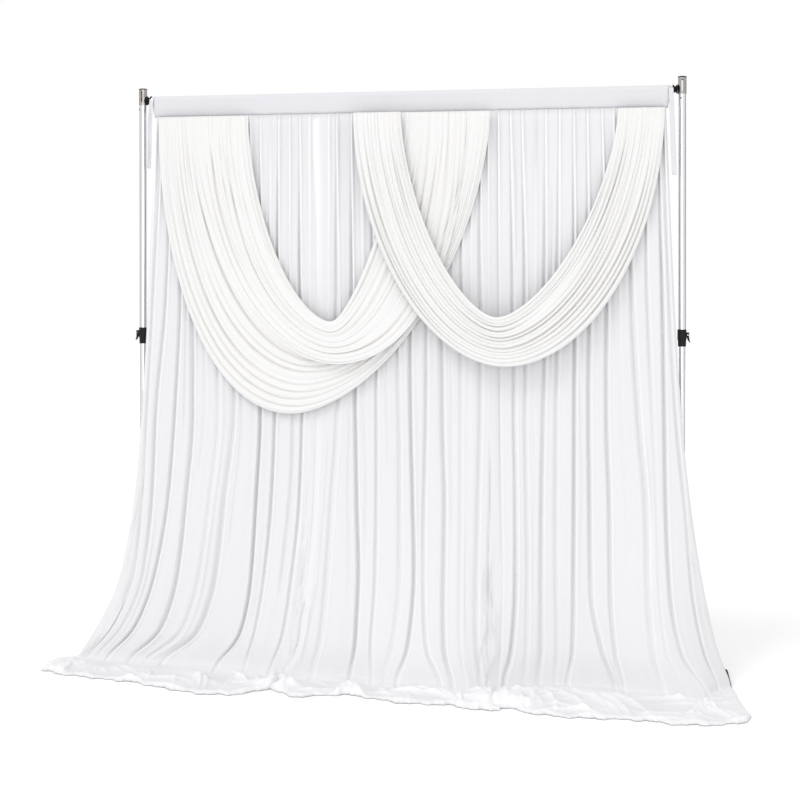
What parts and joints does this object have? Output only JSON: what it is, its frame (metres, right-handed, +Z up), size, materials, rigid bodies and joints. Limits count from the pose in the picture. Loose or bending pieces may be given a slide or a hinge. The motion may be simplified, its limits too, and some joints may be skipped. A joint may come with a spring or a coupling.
{
  "type": "swag drape on a backdrop stand",
  "caption": "Floor-length white gathered drape with two overlapping swags, hung by a rod pocket on a free-standing two-post stand with flat base plates.",
  "frame": {"origin": "on the floor, at the centre of the whole footprint, the puddled hems included", "axes": "+Z up; the front of the drape faces -Y; +X along the crossbar to the right as seen from the front"},
  "size_m": [3.5724, 1.0251, 3.0508],
  "materials": {
    "panel_cloth": "matt white stretch knit",
    "swag_cloth": "soft ivory-white stretch knit with a slight sheen",
    "aluminium_tube": "satin anodised",
    "nickel": "dark nickel plate",
    "black_plastic": "black nylon",
    "black_steel": "black powder coat"
  },
  "bodies": {
    "root": {"heading": "panel_cloth", "panel_left": "panel_cloth", "panel_middle": "panel_cloth", "panel_right": "panel_cloth", "tie_left": "panel_cloth", "tie_right": "panel_cloth", "swag_left": "swag_cloth", "swag_right": "swag_cloth", "crossbar": "aluminium_tube", "post_lower_left": "aluminium_tube", "post_lower_right": "aluminium_tube", "post_upper_left": "aluminium_tube", "post_upper_right": "aluminium_tube", "crown_left": "nickel", "crown_right": "nickel", "snap_button_left": "nickel", "snap_button_right": "nickel", "lock_pin_left": "nickel", "lock_pin_right": "nickel", "lock_collar_left": "black_plastic", "lock_collar_right": "black_plastic", "lock_lever_left": "black_plastic", "lock_lever_right": "black_plastic", "crown_cap_left": "black_plastic", "crown_cap_right": "black_plastic", "bar_hook_left": "black_plastic", "bar_hook_right": "black_plastic", "base_plate_left": "black_steel", "base_plate_right": "black_steel", "base_spigot_left": "black_steel", "base_spigot_right": "black_steel"}
  },
  "joints": []
}
